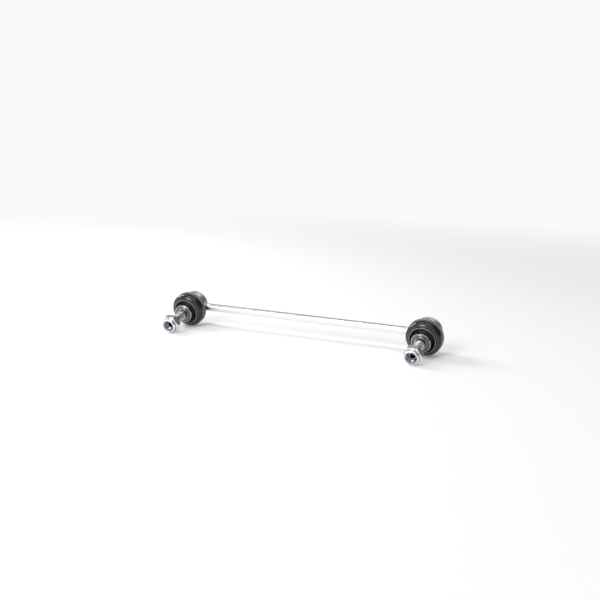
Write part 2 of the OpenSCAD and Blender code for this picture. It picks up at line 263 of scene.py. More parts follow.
# moulded rubber or plastic: fine matt stipple with paler bloom in broad patches
def makeMouldedSkin():
    group, take, give = newGroup(
        "mouldedSkin",
        [("Vector", "v"), ("Stipple", "f"), ("Deep", "c"), ("Bloom", "c"), ("Smooth", "f"), ("Rough", "f")],
        [("Color", "c"), ("Roughness", "f"), ("Height", "f")])
    place = take["Vector"]
    broad = addNode(group, "TexNoise", {"Vector": place, "Scale": 170.0, "Detail": 5.0, "Roughness": 0.62})
    fine = addNode(group, "TexNoise", {"Vector": place, "Scale": take["Stipple"], "Detail": 2.0})
    share = addNode(group, "MapRange", {"Value": broad.outputs["Fac"], "From Min": 0.38, "From Max": 0.72})
    tint = addNode(group, "Mix", {0: share.outputs[0], 6: take["Deep"], 7: take["Bloom"]}, data_type="RGBA")
    both = addNode(group, "Math", {0: share.outputs[0], 1: fine.outputs["Fac"]}, operation="MULTIPLY")
    rough = addNode(group, "MapRange", {
        "Value": both.outputs[0], "From Max": 0.6, "To Min": take["Smooth"], "To Max": take["Rough"]})
    group.links.new(tint.outputs[2], give["Color"])
    group.links.new(rough.outputs[0], give["Roughness"])
    group.links.new(fine.outputs["Fac"], give["Height"])
    return group


platedSkin, turnedLines = makePlatedSkin(), makeTurnedLines()
edgeWearSheenShade, mouldedSkin = makeEdgeWearSheenShade(), makeMouldedSkin()
skinLook = {"wearSheenShade": 0.7, "even": 0.0, "sleek": 0.7, "lineHeight": 2.0, "platedDepth": 0.00002,
            "mouldedDepth": 0.00003, "gloss": 0.5}


# an empty material with its tree, its shader and its coordinates
def newFinish(name):
    finish = bpy.data.materials.new(name)
    finish.use_nodes = True
    tree = finish.node_tree
    return finish, tree, tree.nodes["Principled BSDF"], addNode(tree, "TexCoord")


# the piece's edge attribute goes through the shared group
def wearSheenShadeNodes(tree, place, look):
    edge = addNode(tree, "Attribute", attribute_name="wearSheenShade")
    return addNode(tree, "Group", {
        "Vector": place.outputs["Object"], "Edge": edge.outputs["Fac"],
        "Amount": look.get("wearSheenShade", skinLook["wearSheenShade"]), "Even": look.get("even", skinLook["even"])},
        node_tree=edgeWearSheenShade)


# colour = skin, then the pale tone of wear and painted sheen by the mask, then painted shade in the hollows
def wearSheenShadeColour(tree, colour, wearSheenShade, look):
    mask, hollowShade = wearSheenShade.outputs["Mask"], wearSheenShade.outputs["HollowShade"]
    wearSheenTone = addNode(tree, "Mix", {0: mask, 6: colour, 7: (*look["wearSheenTone"], 1)}, data_type="RGBA")
    return addNode(tree, "Mix", {0: hollowShade, 6: wearSheenTone.outputs[2], 7: (*look["hollowShade"], 1)}, data_type="RGBA")


# plated finish: skin group, optional tool marks, and edges made bright, partly by wear and partly as painted
# sheen
def platedFinish(name, look):
    finish, tree, shader, place = newFinish(name)
    stretch = addNode(tree, "Mapping", {
        "Vector": place.outputs["Object"], "Scale": look.get("stretch", (1, 1, 1))})
    skin = addNode(tree, "Group", {
        "Vector": stretch.outputs[0], "Grain": look["grain"], "Bright": (*look["bright"], 1),
        "Dull": (*look["dull"], 1), "Smooth": look["smooth"], "Rough": look["rough"]}, node_tree=platedSkin)
    wearSheenShade = wearSheenShadeNodes(tree, place, look)
    soiled = wearSheenShadeColour(tree, skin.outputs["Color"], wearSheenShade, look)
    sleek = addNode(tree, "MapRange", {
        "Value": wearSheenShade.outputs["Mask"], "To Min": 1.0, "To Max": skinLook["sleek"]})
    rough = addNode(tree, "Math", {0: skin.outputs["Roughness"], 1: sleek.outputs[0]}, operation="MULTIPLY")
    height = skin.outputs["Height"]
    if "lines" in look:
        lines = addNode(tree, "Group", {"Vector": place.outputs["UV"], "Lines": look["lines"]},
                        node_tree=turnedLines)
        marked = addNode(tree, "Math", {0: lines.outputs["Height"], 1: skinLook["lineHeight"], 2: height},
                         operation="MULTIPLY_ADD")
        height = marked.outputs[0]
    bump = addNode(tree, "Bump", {
        "Height": height, "Strength": look["bump"], "Distance": skinLook["platedDepth"]})
    tree.links.new(soiled.outputs[2], shader.inputs["Base Color"])
    tree.links.new(rough.outputs[0], shader.inputs["Roughness"])
    tree.links.new(bump.outputs[0], shader.inputs["Normal"])
    shader.inputs["Metallic"].default_value = 1.0
    return finish


# moulded finish: skin group on a plain dielectric, with edges made pale, partly by wear and partly as painted
# highlight, and painted shade in the hollows
def mouldedFinish(name, look):
    finish, tree, shader, place = newFinish(name)
    skin = addNode(tree, "Group", {
        "Vector": place.outputs["Object"], "Stipple": look["stipple"], "Deep": (*look["deep"], 1),
        "Bloom": (*look["bloom"], 1), "Smooth": look["smooth"], "Rough": look["rough"]},
        node_tree=mouldedSkin)
    bump = addNode(tree, "Bump", {
        "Height": skin.outputs["Height"], "Strength": look["bump"], "Distance": skinLook["mouldedDepth"]})
    soiled = wearSheenShadeColour(tree, skin.outputs["Color"], wearSheenShadeNodes(tree, place, look), look)
    tree.links.new(soiled.outputs[2], shader.inputs["Base Color"])
    tree.links.new(skin.outputs["Roughness"], shader.inputs["Roughness"])
    tree.links.new(bump.outputs[0], shader.inputs["Normal"])
    shader.inputs["Specular IOR Level"].default_value = look.get("gloss", skinLook["gloss"])
    return finish


zincLook = {
    "bar": {"grain": 3200, "bright": (0.93, 0.935, 0.94), "dull": (0.85, 0.855, 0.86),
            "wearSheenTone": (0.94, 0.94, 0.945), "hollowShade": (0.4, 0.4, 0.4), "smooth": 0.16, "rough": 0.26,
            "bump": 0.12, "stretch": (0.04, 1, 1)},
    "housing": {"grain": 2600, "bright": (0.84, 0.84, 0.83), "dull": (0.74, 0.735, 0.72),
                "wearSheenTone": (0.9, 0.9, 0.89), "hollowShade": (0.12, 0.12, 0.115), "smooth": 0.26, "rough": 0.36,
                "bump": 0.08, "lines": 3.0},
    "weld": {"grain": 2200, "bright": (0.58, 0.58, 0.575), "dull": (0.36, 0.36, 0.36),
             "wearSheenTone": (0.74, 0.74, 0.74), "hollowShade": (0.14, 0.13, 0.12), "smooth": 0.32, "rough": 0.55,
             "bump": 0.5},
    # stud: the pale tone on the thread crests and flange edges is painted sheen, and the hollow colour
    # painted shade
    "stud": {"grain": 3000, "bright": (0.27, 0.275, 0.27), "dull": (0.2, 0.205, 0.2),
             "wearSheenTone": (0.78, 0.78, 0.775), "wearSheenShade": 1.1, "hollowShade": (0.05, 0.052, 0.05), "smooth": 0.15,
             "rough": 0.24, "bump": 0.06, "lines": 6.0},
    "nut": {"grain": 3400, "bright": (0.87, 0.87, 0.91), "dull": (0.77, 0.77, 0.82),
            "wearSheenTone": (0.94, 0.94, 0.95), "hollowShade": (0.2, 0.2, 0.23), "smooth": 0.18, "rough": 0.28, "bump": 0.1},
    "wire": {"grain": 2800, "bright": (0.06, 0.06, 0.06), "dull": (0.03, 0.03, 0.03),
             "wearSheenTone": (0.2, 0.2, 0.2), "hollowShade": (0.02, 0.02, 0.02), "smooth": 0.3, "rough": 0.5, "bump": 0.3},
    "ring": {"grain": 2400, "bright": (0.46, 0.46, 0.47), "dull": (0.34, 0.34, 0.35),
             "wearSheenTone": (0.6, 0.6, 0.6), "hollowShade": (0.1, 0.1, 0.1), "smooth": 0.3, "rough": 0.48, "bump": 0.3},
    "ball": {"grain": 4000, "bright": (0.78, 0.78, 0.79), "dull": (0.7, 0.7, 0.71),
             "wearSheenTone": (0.85, 0.85, 0.85), "hollowShade": (0.3, 0.3, 0.3), "smooth": 0.08, "rough": 0.16, "bump": 0.1},
}
mouldedLook = {
    # boot: the pale, nearly even edge tone on the ridge and rim is painted highlight, and the hollow colour
    # painted shade
    "boot": {"stipple": 5200, "deep": (0.006, 0.0064, 0.006), "bloom": (0.013, 0.014, 0.013),
             "wearSheenTone": (0.34, 0.345, 0.34), "wearSheenShade": 1.1, "even": 0.7, "hollowShade": (0.002, 0.002, 0.002),
             "smooth": 0.15, "rough": 0.25, "bump": 0.08},
    # fold: its darker colours are painted shade in the recess; its low gloss and rough skin keep glints off
    "fold": {"stipple": 5200, "deep": (0.004, 0.0042, 0.004), "bloom": (0.009, 0.0095, 0.009),
             "wearSheenTone": (0.1, 0.1, 0.1), "wearSheenShade": 0.6, "hollowShade": (0.002, 0.002, 0.002), "smooth": 0.42,
             "rough": 0.55, "bump": 0.12, "gloss": 0.2},
    "insert": {"stipple": 4200, "deep": (0.28, 0.27, 0.42), "bloom": (0.46, 0.45, 0.6),
               "wearSheenTone": (0.6, 0.59, 0.68), "wearSheenShade": 0.3, "hollowShade": (0.15, 0.14, 0.2), "smooth": 0.3,
               "rough": 0.46, "bump": 0.2},
    "seat": {"stipple": 3800, "deep": (0.80, 0.78, 0.71), "bloom": (0.88, 0.86, 0.80),
             "wearSheenTone": (0.9, 0.88, 0.82), "wearSheenShade": 0.2, "hollowShade": (0.5, 0.47, 0.4), "smooth": 0.35, "rough": 0.5,
             "bump": 0.2},
}
finishes = {name: platedFinish(name + "Zinc", look) for name, look in zincLook.items()}
finishes |= {name: mouldedFinish(name + "Skin", look) for name, look in mouldedLook.items()}
print("finishes made:", len(finishes))

barSize = {"radius": 4.0, "housing": 14.2, "sink": 0.1, "rows": 60, "around": 96}


# bar: a circle carried along X, each end drawn out to the housing's round side at its own height
def makeBar():
    s = barSize
    end = endFrame("right")
    ball = end[0]
    half = ball[0] / mm
    angle = fullTurn(s["around"])
    reach = half - np.sqrt(s["housing"] ** 2 - (s["radius"] * np.sin(angle)) ** 2) + s["sink"]
    share = np.r_[-1, np.linspace(-1, 1, s["rows"]), 1][:, None]
    radius = np.r_[0, np.full(s["rows"], s["radius"]), 0][:, None] * np.ones_like(angle)
    points = roundBar(ball * (1 - barLine), end, radius, angle, share * reach)
    return gridPiece("link_bar", points, np.zeros(points.shape[:2]), (share[:, 0] + 1) * half)


dress(makeBar(), finishes["bar"], "bar_zinc", "link", "link_rod")

weldSize = {"height": 0.8, "top": 16.2, "ripples": 23, "ripple": 0.07, "under": 0.5, "inside": 13.0,
            "wearSheenShade": 0.5, "rows": 14, "rowLength": 0.2, "around": 144}


# weld flash: a quarter of an ellipse from the housing's round side to the bar, with a wavy toe all round;
# wave = ripples whose phase wanders three times round, plus nine slower ones of half the height
def makeWeld(side):
    s = weldSize
    end = endFrame(side)
    angle = fullTurn(s["around"])
    lift = np.radians(np.linspace(0, 90, s["rows"]))[:, None]
    wave = np.sin(s["ripples"] * angle + 2 * np.sin(3 * angle)) + 0.5 * np.sin(9 * angle + 1)
    radius = barSize["radius"] + (s["height"] + s["ripple"] * wave * np.sin(2 * lift)) * np.cos(lift)
    floor = np.sqrt(barSize["housing"] ** 2 - (radius * np.sin(angle)) ** 2)
    out = floor + (s["top"] - floor) * np.sin(lift)
    # two rows under the bar's skin and the first row again close the section
    radius = np.vstack([radius, np.full((2, s["around"]), barSize["radius"] - s["under"]), radius[:1]])
    out = np.vstack([out, out[-1:], np.full((1, s["around"]), s["inside"]), out[:1]])
    inward = -1 if side == "right" else 1
    points = roundBar(end[0], end, radius, angle, inward * out)
    wearSheenShade = np.clip(wave * np.sin(2 * np.vstack([lift, np.zeros((3, 1))])), 0, 1) * s["wearSheenShade"]
    return gridPiece(side + "_weld_flash", points, wearSheenShade, np.arange(len(radius)) * s["rowLength"])


cupSize = {"back": -10.4, "radius": barSize["housing"], "round": 5.0, "groove": (6.45, 8.95), "floor": 13.2,
           "lip": 13.9, "front": 9.75, "mouth": 10.4, "crimp": 0.9, "cavity": 11.6, "inside": -8.8,
           "bevel": 2.0, "detail": 1.0}


# housing: the cup's half section carried round the stud's line
def makeCup(side):
    s = cupSize
    back = arc(s["radius"] - s["round"], s["back"] + s["round"], s["round"], -90, 0, 24)
    grooveBack, grooveFront = s["groove"]
    crimpBack = s["front"] - s["crimp"]
    front = softCorners([
        (*back[-1], 0), (s["radius"], grooveBack, 0.25), (s["floor"], grooveBack, 0.1),
        (s["floor"], grooveFront, 0.1), (s["lip"], grooveFront, 0.2), (s["lip"], s["front"], 0.35),
        (s["mouth"], s["front"], 0.25), (s["mouth"], crimpBack, 0.1), (s["cavity"], crimpBack, 0),
        (s["cavity"], s["inside"] + s["bevel"], 0), (s["cavity"] - s["bevel"], s["inside"], 0),
        (0, s["inside"], 0)])
    centre = np.array([[0.0, s["back"]]])
    path = finePath(np.vstack([centre, back, front]), s["detail"])
    return spunPiece(side + "_housing_cup", endFrame(side), path)


# each wire: radius of its ring, distance along the stud, radius of its section
wireSize = {"clamp": (16.0, 7.7, 0.75), "neck": (6.9, 18.5, 0.6), "gap": 1.2, "around": 220, "section": 28}


# spring wire: a round section carried along a ring that stops short of itself, with rounded tips
def makeWire(side, kind):
    ring, along, thick = wireSize[kind]
    half = math.pi - wireSize["gap"] / ring / 2
    path = np.linspace(-half, half, wireSize["around"])
    tip = np.clip((half - np.abs(path)) * ring / thick, 0, 1)
    wide = thick * np.sqrt(1 - (1 - tip) ** 2)
    section = fullTurn(wireSize["section"])
    radius = ring + wide[:, None] * np.cos(section)
    reach = along + wide[:, None] * np.sin(section)
    points = roundStud(endFrame(side), radius, path[:, None] + math.pi / 2, reach)
    return gridPiece(side + "_" + kind + "_wire", points, np.zeros(points.shape[:2]), path * ring)


studSize = {"ball": 7.53, "neck": 4.2, "seatRows": 8, "land": 5.2, "landBack": 16.6, "landRise": 1.0,
            "flangeBack": 20.1, "flange": 9.8, "flangeFront": 22.6, "bevel": 0.9, "dish": (8.35, 8.0, 7.2),
            "dishDepth": 0.4, "step": 6.6, "draft": 0.1, "stepFront": 23.3, "relief": 4.2,
            "threadBack": 25.3, "fade": 0.6, "thread": 5.0, "lead": 4.8, "leadBack": 41.9, "end": 47.3,
            "endBevel": 1.0, "pitch": 1.5, "depth": 0.8, "perTurn": 14, "key": 5.0, "keyDepth": 4.5,
            "keyBevel": 0.25, "keyRound": 0.2, "keyFloor": 0.98, "keyCone": 0.7, "crisp": 0.1, "detail": 0.5,
            "around": 96, "crestFrom": 0.3, "crestSheen": 1.6, "rootBelow": 0.4, "rootShade": 0.6,
            "faceRub": 0.3, "socketShade": -1.0}


# thread wave: 1 on the crests, 0 in the roots, rounded flanks between them, one turn later by one pitch
def threadWave(along, angle, pitch, root=0.2, flank=0.62):
    ramp = np.abs(2 * np.mod(along / pitch - angle / (2 * np.pi), 1) - 1)
    wave = np.clip((ramp - root) / flank, 0, 1)
    return wave * wave * (3 - 2 * wave)


# stud: turned profile, then a helical thread, then the end face with a six-sided key socket
def makeStud(side):
    s = studSize
    angle = fullTurn(s["around"])
    one = np.ones_like(angle)
    seat = np.linspace(0, s["neck"], s["seatRows"])
    ballEnd = np.stack([seat, np.sqrt(s["ball"] ** 2 - seat ** 2)], axis=1)
    dishOut, dishFloor, dishIn = s["dish"]
    dishAt = s["flangeFront"] - s["dishDepth"]
    fadeBack = s["threadBack"] - s["fade"]
    turned = softCorners([
        (*ballEnd[-1], 0), (s["neck"], s["landBack"] - s["landRise"], 0.5), (s["land"], s["landBack"], 0.5),
        (s["land"], s["flangeBack"], 0.4), (s["flange"], s["flangeBack"], 0.45),
        (s["flange"], s["flangeFront"] - s["bevel"], 0.3),
        (s["flange"] - s["bevel"], s["flangeFront"], 0.25), (dishOut, s["flangeFront"], 0.1),
        (dishFloor, dishAt, 0.1), (dishIn, dishAt, 0.2), (s["step"] + s["draft"], s["flangeFront"], 0.15),
        (s["step"], s["stepFront"], 0.25), (s["relief"], s["stepFront"], 0.35),
        (s["relief"], fadeBack - 2 * s["crisp"], 0), (s["relief"], fadeBack - s["crisp"], 0)])
    profile = finePath(np.vstack([ballEnd, turned]), s["detail"])
    along = np.arange(fadeBack, s["end"], s["pitch"] / s["perTurn"])[:, None] * one
    crest = np.where(along < s["leadBack"], s["thread"], s["lead"])
    helix = crest - s["depth"] * (1 - threadWave(along, angle, s["pitch"]))
    helix = s["relief"] + (helix - s["relief"]) * np.clip((along - fadeBack) / (2 * s["fade"]), 0, 1)
    face = s["lead"] - s["endBevel"]
    helix = np.minimum(helix, face + (s["end"] - along))
    key = s["key"] / 2 / np.cos(np.mod(angle, np.pi / 3) - np.pi / 6)
    keyEnd = s["end"] - s["keyDepth"]
    # three rows of the end face down to the socket's bevel, then four of the socket
    radius = np.vstack([profile[:, :1] * one, helix, face * one, (face - s["crisp"]) * one,
                        key + s["keyBevel"], key, key, key * s["keyFloor"], 0 * one])
    tail = np.array([s["end"], s["end"], s["end"], s["end"] - s["keyBevel"], keyEnd + s["keyRound"], keyEnd,
                     keyEnd - s["keyCone"]])
    along = np.vstack([profile[:, 1:] * one, along, tail[:, None] * one])
    threaded = along > s["threadBack"]
    wave = threadWave(along, angle, s["pitch"]) * threaded
    # painted shade in the thread roots and painted sheen on the crests
    hollowShade = s["rootShade"] * np.clip(s["rootBelow"] - wave, 0, 1) * threaded
    wearSheenShade = np.clip(s["crestSheen"] * (wave - s["crestFrom"]), 0, 1) - hollowShade
    wearSheenShade[:len(profile)] = edgeOfPath(profile)[:, None]
    wearSheenShade[-7:-4] = s["faceRub"]
    # painted shade in the key socket
    wearSheenShade[-4:] = s["socketShade"]
    lengths = pathLengths(np.stack([radius[:, 0], along[:, 0]], axis=1))
    return gridPiece(side + "_stud_pin", roundStud(endFrame(side), radius, angle, along), wearSheenShade, lengths)


nutSize = {"flats": 17.0, "back": 42.5, "hexFront": 49.3, "front": 52.5, "land": 8.15, "collar": 7.2,
           "edge": 1.2, "lip": 5.9, "lipDrop": 0.12, "pocket": 6.4, "ringFront": 51.75, "ringBack": 49.25,
           "bore": 5.1, "bevel": 0.6, "root": 0.45, "pitch": studSize["pitch"], "perTurn": 12, "gap": 0.1,
           "corner": 0.1, "crease": 0.12, "creaseIn": 0.02, "slope": 30.0, "perFlat": 24, "detail": 0.6,
           "creaseRub": (0.3, 1, 0.5, 0.5, 1, 0.3), "cornerFrom": 28.6, "boreShade": -0.7, "rootShade": -0.3}


# nut: six flats whose ends run out in a cone, a round collar curled over the ring, and a threaded bore;
# a cubic crowds the columns of each flat towards its corners
def makeNut(side):
    s = nutSize
    halfFlat = math.radians(30)
    u = np.linspace(-1, 1, s["perFlat"], endpoint=False)
    local = halfFlat * (1.5 * u - 0.5 * u ** 3)
    angle = (np.radians(30 + 60 * np.arange(6))[:, None] + local).reshape(1, -1)
    local = np.tile(local, 6)[None, :]
    one = np.ones_like(angle)
    inRadius = s["flats"] / 2
    hexagon = np.minimum(inRadius / np.cos(local), inRadius / math.cos(halfFlat) - s["corner"])
    slope = math.tan(math.radians(s["slope"]))
    drop = (hexagon - s["land"]) * slope
    low, high = s["back"] + drop, s["hexFront"] - drop
    boreBack = s["back"] + s["bevel"]
    faceBack = softCorners([
        (s["bore"], boreBack, 0), (s["bore"] + s["bevel"], s["back"], 0.15), (s["land"], s["back"], 0)])
    away = s["crease"]
    inset = (away, s["creaseIn"], 0, 0, s["creaseIn"], away)
    creaseRadius = np.vstack([hexagon - depth for depth in inset])
    creaseAlong = np.vstack([low - away * slope, low, low + away, high - away, high, high + away * slope])
    curl = s["front"] - s["edge"]
    neck = [(s["land"], s["hexFront"], 0), (s["collar"], s["hexFront"], 0.25), (s["collar"], curl, 0)]
    collar = np.vstack([softCorners(neck), arc(s["collar"] - s["edge"], curl, s["edge"], 5, 90, 16)])
    lip = softCorners([
        (*collar[-1], 0), (s["lip"], s["front"] - s["lipDrop"], 0.3), (s["lip"], s["ringFront"], 0.2),
        (s["pocket"], s["ringFront"], 0), (s["pocket"], s["ringBack"], 0), (s["bore"], s["ringBack"], 0)])
    front = finePath(np.vstack([collar, lip[1:]]), s["detail"])
    along = np.arange(s["ringBack"] - s["gap"], boreBack + s["gap"], -s["pitch"] / s["perTurn"])
    along = along[:, None] * one
    thread = s["bore"] + s["root"] * (1 - threadWave(along, angle, s["pitch"]))
    radius = np.vstack([faceBack[:, :1] * one, creaseRadius, front[:, :1] * one, thread, s["bore"] * one])
    along = np.vstack([faceBack[:, 1:] * one, creaseAlong, front[:, 1:] * one, along, boreBack * one])
    corner = np.clip(np.abs(np.degrees(local)) - s["cornerFrom"], 0, 1)
    # painted shade in the bore, darkest in the thread roots
    hollowShade = s["boreShade"] + s["rootShade"] * (thread - s["bore"]) / s["root"]
    wearSheenShade = np.vstack([np.zeros((len(faceBack), angle.size)), np.array(s["creaseRub"])[:, None] + corner,
                     edgeOfPath(front)[:, None] * one, hollowShade, 0 * one])
    lengths = pathLengths(np.stack([radius[:, 0], along[:, 0]], axis=1))
    points = roundStud(endFrame(side), radius, angle, along)
    return gridPiece(side + "_nut_body", points, np.clip(wearSheenShade, -1, 1), lengths)


ringSize = {"bore": nutSize["bore"], "out": 6.35, "back": 49.3, "seam": 50.4, "front": 51.7, "steps": 10,
            "detail": 0.25}


# locking ring: a small rounded block carried round the stud's line
def makeRing(side):
    s = ringSize
    loop = softCorners([
        (s["bore"], s["seam"], 0), (s["bore"], s["back"], 0.15), (s["out"], s["back"], 0.1),
        (s["out"], s["front"], 0.15), (s["bore"], s["front"], 0.55), (s["bore"], s["seam"], 0)], s["steps"])
    return spunPiece(side + "_nut_ring", endFrame(side), finePath(loop, s["detail"]))


bootSize = {"back": 5.0, "rim": 18.2, "rimFront": 6.9, "rimRound": 0.76, "rimFoot": 15.6, "rimSlack": 0.01,
            "rimLitFrom": 6.3, "rimLitAndShaded": (0.8, -0.1), "seat": 15.2, "seatFront": 8.5, "bulgeRing": 12.3,
            "bulgeAt": 10.9, "bulge": 5.8, "bulgeStop": 63, "wall": 2.0, "inBulge": (62, -16),
            "ridgeAngle": 82.0, "ridge": 0.6, "ridgeArc": (-25, 180), "valley": (5.15, 71.0),
            "foldShift": (1.35, 1.7), "fold": 0.8, "foldWall": 1.0, "inFoldStop": -35, "neck": 6.85,
            "neckIn": 5.25, "neckBack": 17.2, "neckWall": 1.4, "front": 19.8, "ringAt": 18.5,
            "ringHalf": 0.65, "ringDeep": 0.6, "housing": 14.25, "lip": 13.95, "bead": 13.25,
            "beadSlope": 0.05, "groove": (6.5, 8.9), "mouth": 9.85, "detail": 0.3, "around": 144,
            "skirtBend": (8.6, 13.6), "coneBend": (14.15, 16.3)}


# ridge's middle = bulge's middle + its radius * (cos, sin) of the ridge's angle; the fold's lies in and back
def ridgeAndFold():
    s = bootSize
    ridge = arc(s["bulgeRing"], s["bulgeAt"], s["bulge"], s["ridgeAngle"], s["ridgeAngle"], 1)[0]
    return ridge, ridge - s["foldShift"]


# boot's skirt: rim, clamp groove, bulge, ridge and the outer half of the fold, a closed section carried
# round; the rim's front edge has a painted highlight band and the rest of the rim a little painted shade
def makeSkirt(side):
    s = bootSize
    rimRing = s["rim"] - s["rimRound"]
    rim = np.vstack([arc(rimRing, s["back"] + s["rimRound"], s["rimRound"], -90, 0, 10),
                     arc(rimRing, s["rimFront"] - s["rimRound"], s["rimRound"], 0, 90, 10)])
    start = -math.degrees(math.asin((s["bulgeAt"] - s["seatFront"]) / s["bulge"]))
    bulge = arc(s["bulgeRing"], s["bulgeAt"], s["bulge"], start, s["bulgeStop"], 44)
    ridgeMid, foldMid = ridgeAndFold()
    ridge = arc(*ridgeMid, s["ridge"], *s["ridgeArc"], 16)
    valleyRadius, valleyAngle = s["valley"]
    low = arc(s["bulgeRing"], s["bulgeAt"], valleyRadius, valleyAngle, valleyAngle, 1)[0]
    valley = softCorners([
        (*bulge[-2], 0), (*bulge[-1], 0.5), (*low, 0.35), (*ridge[0], 0.1), (*ridge[1], 0)])
    groove = softCorners([
        (*rim[-1], 0), (s["seat"], s["rimFront"], 0.2), (s["seat"], s["seatFront"], 0.2), (*bulge[0], 0.3),
        (*bulge[2], 0)])
    outFold = arc(*foldMid, s["fold"], 0, -90, 12)
    inFold = arc(*foldMid, s["fold"] + s["foldWall"], -90, s["inFoldStop"], 8)
    inBulge = arc(s["bulgeRing"], s["bulgeAt"], s["bulge"] - s["wall"], *s["inBulge"], 20)
    beadBack, beadFront = s["groove"]
    bead = np.array([(s["lip"], s["mouth"]), (s["lip"], beadFront), (s["bead"], beadFront - s["beadSlope"]),
                     (s["bead"], beadBack + s["beadSlope"]), (s["housing"], beadBack),
                     (s["housing"], s["back"])])
    outside = np.vstack([rim, groove[1:-1], bulge[3:-2], valley[:-1], ridge[1:], outFold])
    path = finePath(np.vstack([outside, inFold, inBulge, bead, rim[:1]]), s["detail"])
    wearSheenTone = edgeOfPath(path)
    # the rim's front edge takes a painted highlight band, the rest of the rim a little painted shade
    onRim = (path[:, 0] > s["rimFoot"]) & (path[:, 1] < s["rimFront"] + s["rimSlack"])
    wearSheenTone[onRim] = np.where(path[onRim, 1] > s["rimLitFrom"], *s["rimLitAndShaded"])
    return spunPiece(side + "_boot_skirt", endFrame(side), path, s["around"], wearSheenTone)


# boot's cone: inner half of the fold, the cone and the neck with the groove of its wire; the cone touches
# the fold's round and the neck's back, and its wall grows from the fold's to the neck's
def makeCone(side):
    s = bootSize
    foldRing, foldAt = ridgeAndFold()[1]
    rise, run = s["neckBack"] - foldAt, foldRing - s["neck"]
    slope = math.atan2(rise, run) + math.asin(s["fold"] / math.hypot(rise, run))
    stop = -90 - math.degrees(slope)
    outFold = arc(foldRing, foldAt, s["fold"], -90, stop, 6)
    inFold = arc(foldRing, foldAt, s["fold"] + s["foldWall"], stop, -90, 6)
    inRound = s["fold"] + s["neckWall"]
    inRun = foldRing - inRound * math.sin(slope) - s["neckIn"]
    throat = foldAt - inRound * math.cos(slope) + inRun * math.tan(slope)
    low, high = s["ringAt"] - s["ringHalf"], s["ringAt"] + s["ringHalf"]
    waist = s["neck"] - s["ringDeep"]
    neck = softCorners([
        (*outFold[-1], 0), (s["neck"], s["neckBack"], 0.5), (s["neck"], low, 0.15), (waist, low, 0.1),
        (waist, high, 0.1), (s["neck"], high, 0.15), (s["neck"], s["front"], 0.35),
        (s["neckIn"], s["front"], 0.2), (s["neckIn"], throat, 0.4), (*inFold[0], 0)])
    path = finePath(np.vstack([outFold, neck[1:-1], inFold, outFold[:1]]), s["detail"])
    return spunPiece(side + "_boot_cone", endFrame(side), path, s["around"])


for side in sides:
    dress(makeWeld(side), finishes["weld"], "weld_metal", "link", side + "_weld_bead")
    dress(makeCup(side), finishes["housing"], "housing_zinc", "link", side + "_housing")
    dress(makeWire(side, "clamp"), finishes["wire"], "spring_wire", "link", side + "_clamp_ring")
    dress(makeWire(side, "neck"), finishes["wire"], "spring_wire", side + "_neck", side + "_neck_ring")
    dress(makeStud(side), finishes["stud"], "stud_zinc", side + "_stud", side + "_stud")
    dress(makeNut(side), finishes["nut"], "nut_zinc", side + "_nut", side + "_nut")
    dress(makeRing(side), finishes["insert"], "insert_nylon", side + "_nut_insert", side + "_nut_insert")
    skirt = dress(makeSkirt(side), finishes["boot"], "boot_rubber", None, side + "_boot")
    cone = dress(makeCone(side), finishes["fold"], "boot_rubber", None, side + "_boot")
    # each boot piece has its placement baked into its mesh; the tilts listed for them, the skirt's between
    # clamp and fold and the cone's between fold and neck, are not applied
    bends = ((skirt, "link", side + "_ball", "skirtBend"), (cone, side + "_ball", side + "_neck", "coneBend"))
    for piece, first, second, key in bends:
        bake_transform(piece)
    # inner pieces keep their solids
    for node, finish in (("ball_seat", "seat"), ("closing_ring", "ring"), ("ball", "ball")):
        solid = frame["nodes"][side + "_" + node]
        solid.data.materials.clear()
        solid.data.materials.append(finishes[finish])
    print(side, "end dressed")

# sky's levels, and its places: direction, and the cosines between which each one fades in
skyLook = {"horizon": 0.95, "front": 0.95, "back": 0.36, "roof": 0.8, "side": 0.14, "fill": 0.62,
           "frontAt": ((0.38, -0.86, 0.34), 0.34, 0.6), "roofAt": ((0.1, 0.5, 0.86), 0.92, 0.98),
           "sideAt": ((0.92, 0.38, 0.05), 0.42, 0.68), "aboveAt": ((0, 0, 1), 0.2, 0.4),
           "clearAt": ((0, 0, 1), 0.0, 0.06)}
stageSize = {"half": 6.0, "floor": (0.9, 0.9, 0.905), "haze": (0.88, 0.88, 0.89), "rough": 0.9, "gloss": 0.1,
             "glow": 0.15, "near": 0.4, "far": 1.3}


